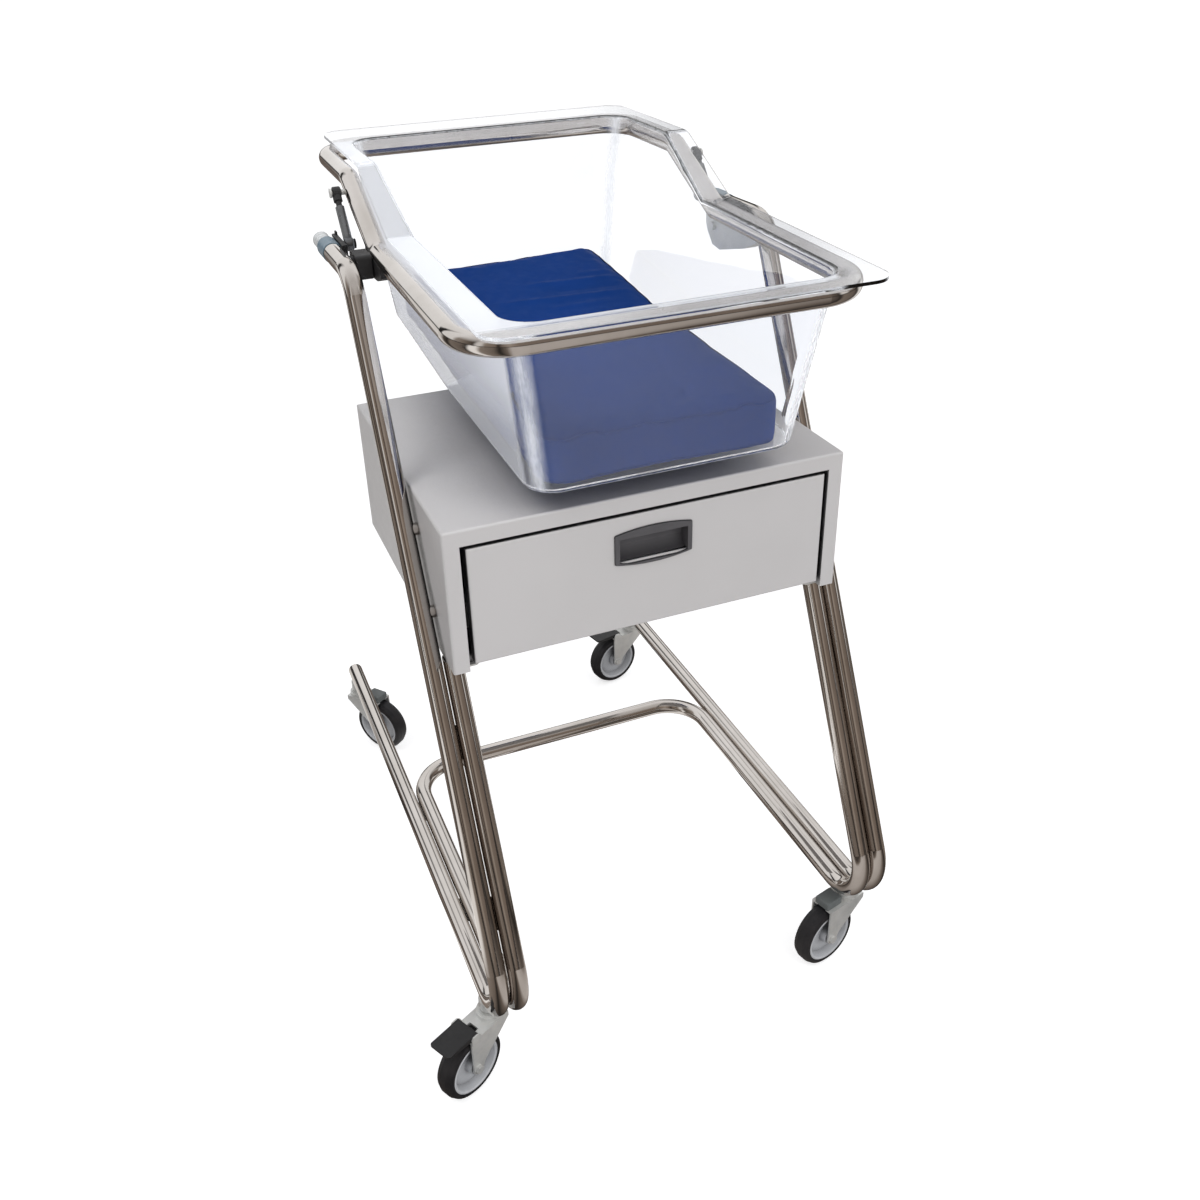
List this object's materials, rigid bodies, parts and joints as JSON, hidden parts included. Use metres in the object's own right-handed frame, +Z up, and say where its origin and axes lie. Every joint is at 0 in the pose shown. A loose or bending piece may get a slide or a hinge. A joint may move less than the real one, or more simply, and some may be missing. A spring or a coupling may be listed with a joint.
{
  "type": "hospital bassinet",
  "caption": "Wheeled hospital bassinet: clear tub with a mattress in a tilting tube ring, on a bent tube stand with a cabinet, drawer and braked castors.",
  "frame": {"origin": "on the floor under the centre of the whole part's outline", "axes": "+Z up, +Y from the drawer side (foot end) to the handles (head end), +X to the right for a person facing the drawer"},
  "size_m": [0.6676, 0.8996, 1.1164],
  "materials": {
    "chrome_tube": "polished",
    "zinc_steel": "satin",
    "painted_sheet": "satin",
    "clear_acrylic": "gloss",
    "pad_cover": "matte",
    "black_plastic": "matte",
    "dark_grey_plastic": "matte",
    "white_sleeve": "gloss",
    "blue_band": "gloss",
    "strut_grey": "satin",
    "strut_rod": "matte",
    "wheel_tyre": "matte",
    "wheel_rim": "matte",
    "cover_grey": "matte"
  },
  "bodies": {
    "stand": {"side_tube_left": "chrome_tube", "side_tube_right": "chrome_tube", "base_tube": "chrome_tube", "weld_plates": "chrome_tube", "run_end_caps": "chrome_tube", "castor_sockets": "zinc_steel", "handle_sleeve_left": "white_sleeve", "handle_sleeve_right": "white_sleeve", "handle_bands": "blue_band", "cabinet_shell": "painted_sheet", "cabinet_back": "painted_sheet", "cabinet_floor": "painted_sheet", "tube_mount_plates": "zinc_steel", "cabinet_spacers": "chrome_tube", "slide_outer_left": "zinc_steel", "slide_outer_right": "zinc_steel", "pivot_block_left": "black_plastic", "pivot_block_right": "black_plastic", "strut_studs_lower": "black_plastic"},
    "drawer": {"drawer_front": "painted_sheet", "drawer_tray": "painted_sheet", "drawer_pull": "dark_grey_plastic", "slide_inner_left": "zinc_steel", "slide_inner_right": "zinc_steel"},
    "slide_middles": {"slide_middle_left": "zinc_steel", "slide_middle_right": "zinc_steel"},
    "ring": {"ring_front_tube": "chrome_tube", "ring_rear_tube": "chrome_tube", "ring_foot_left": "black_plastic", "ring_foot_right": "zinc_steel", "tilt_pins": "zinc_steel", "strut_studs_upper": "zinc_steel"},
    "strut_cylinder_left": {"strut_cylinder_left": "strut_grey"},
    "strut_cylinder_right": {"strut_cylinder_right": "strut_grey"},
    "strut_rod_left": {"strut_rod_left": "strut_rod"},
    "strut_rod_right": {"strut_rod_right": "strut_rod"},
    "tub": {"tub": "clear_acrylic"},
    "mattress": {"mattress": "pad_cover"},
    "castor_front_left": {"castor_fork_front_left": "zinc_steel"},
    "wheel_front_left": {"wheel_rim_front_left": "wheel_rim", "wheel_tyre_front_left": "wheel_tyre"},
    "brake_pedal_front_left": {"brake_pedal_front_left": "black_plastic"},
    "castor_front_right": {"castor_fork_front_right": "zinc_steel", "castor_cover_front_right": "cover_grey"},
    "wheel_front_right": {"wheel_rim_front_right": "wheel_rim", "wheel_tyre_front_right": "wheel_tyre"},
    "castor_rear_right": {"castor_fork_rear_right": "zinc_steel"},
    "wheel_rear_right": {"wheel_rim_rear_right": "wheel_rim", "wheel_tyre_rear_right": "wheel_tyre"},
    "brake_pedal_rear_right": {"brake_pedal_rear_right": "black_plastic"},
    "castor_rear_left": {"castor_fork_rear_left": "zinc_steel", "castor_cover_rear_left": "cover_grey"},
    "wheel_rear_left": {"wheel_rim_rear_left": "wheel_rim", "wheel_tyre_rear_left": "wheel_tyre"}
  },
  "joints": [
    {"name": "ring_tilt", "type": "hinge", "parent": "stand", "child": "ring", "pos_m": [0.03454, -0.00077, 1.01], "axis": [1, 0, 0], "range_deg": [-10, 4]},
    {"name": "drawer_slide", "type": "slide", "parent": "stand", "child": "drawer", "axis": [0, -1, 0], "range_m": [0, 0.38]},
    {"name": "slide_middles_slide", "type": "slide", "parent": "stand", "child": "slide_middles", "axis": [0, -1, 0], "range_m": [0, 0.19]},
    {"name": "tub_lift", "type": "slide", "parent": "ring", "child": "tub", "axis": [0, 0, 1], "range_m": [0, 0.35]},
    {"name": "mattress_lift", "type": "slide", "parent": "tub", "child": "mattress", "axis": [0, 0, 1], "range_m": [0, 0.3]},
    {"name": "strut_left_swing", "type": "hinge", "parent": "stand", "child": "strut_cylinder_left", "pos_m": [-0.22146, 0.07123, 1.028], "axis": [1, 0, 0], "range_deg": [-19.2, 7.8]},
    {"name": "strut_left_slide", "type": "slide", "parent": "strut_cylinder_left", "child": "strut_rod_left", "axis": [0, 0.6416, 0.7671], "range_m": [-0.0066, 0.0028]},
    {"name": "strut_right_swing", "type": "hinge", "parent": "stand", "child": "strut_cylinder_right", "pos_m": [0.29054, 0.07123, 1.028], "axis": [1, 0, 0], "range_deg": [-19.2, 7.8]},
    {"name": "strut_right_slide", "type": "slide", "parent": "strut_cylinder_right", "child": "strut_rod_right", "axis": [0, 0.6416, 0.7671], "range_m": [-0.0066, 0.0028]},
    {"name": "castor_front_left_swivel", "type": "hinge", "parent": "stand", "child": "castor_front_left", "pos_m": [-0.24446, -0.37677, 0.1195], "axis": [0, 0, 1], "continuous": true},
    {"name": "wheel_front_left_roll", "type": "hinge", "parent": "castor_front_left", "child": "wheel_front_left", "pos_m": [-0.2843, -0.39769, 0.05], "axis": [0.4648, -0.8854, 0], "continuous": true},
    {"name": "brake_front_left_press", "type": "hinge", "parent": "castor_front_left", "child": "brake_pedal_front_left", "pos_m": [-0.28519, -0.39815, 0.112], "axis": [0.4648, -0.8854, 0], "range_deg": [0, 7]},
    {"name": "castor_front_right_swivel", "type": "hinge", "parent": "stand", "child": "castor_front_right", "pos_m": [0.31354, -0.37677, 0.1195], "axis": [0, 0, 1], "continuous": true},
    {"name": "wheel_front_right_roll", "type": "hinge", "parent": "castor_front_right", "child": "wheel_front_right", "pos_m": [0.26999, -0.38811, 0.05], "axis": [0.2521, -0.9677, 0], "continuous": true},
    {"name": "castor_rear_right_swivel", "type": "hinge", "parent": "stand", "child": "castor_rear_right", "pos_m": [0.31354, 0.42323, 0.1195], "axis": [0, 0, 1], "continuous": true},
    {"name": "wheel_rear_right_roll", "type": "hinge", "parent": "castor_rear_right", "child": "wheel_rear_right", "pos_m": [0.26969, 0.41311, 0.05], "axis": [0.225, -0.9744, 0], "continuous": true},
    {"name": "brake_rear_right_press", "type": "hinge", "parent": "castor_rear_right", "child": "brake_pedal_rear_right", "pos_m": [0.26872, 0.41288, 0.112], "axis": [0.225, -0.9744, 0], "range_deg": [0, 7]},
    {"name": "castor_rear_left_swivel", "type": "hinge", "parent": "stand", "child": "castor_rear_left", "pos_m": [-0.24446, 0.42323, 0.1195], "axis": [0, 0, 1], "continuous": true},
    {"name": "wheel_rear_left_roll", "type": "hinge", "parent": "castor_rear_left", "child": "wheel_rear_left", "pos_m": [-0.21676, 0.38777, 0.05], "axis": [0.788, 0.6157, 0], "continuous": true}
  ],
  "couplings": [
    {"joint": "slide_middles_slide", "follows": "drawer_slide", "ratio": 0.5},
    {"joint": "strut_left_swing", "follows": "ring_tilt", "ratio": 1.91},
    {"joint": "strut_left_slide", "follows": "ring_tilt", "m_per_rad": 0.037},
    {"joint": "strut_right_swing", "follows": "ring_tilt", "ratio": 1.91},
    {"joint": "strut_right_slide", "follows": "ring_tilt", "m_per_rad": 0.037}
  ]
}
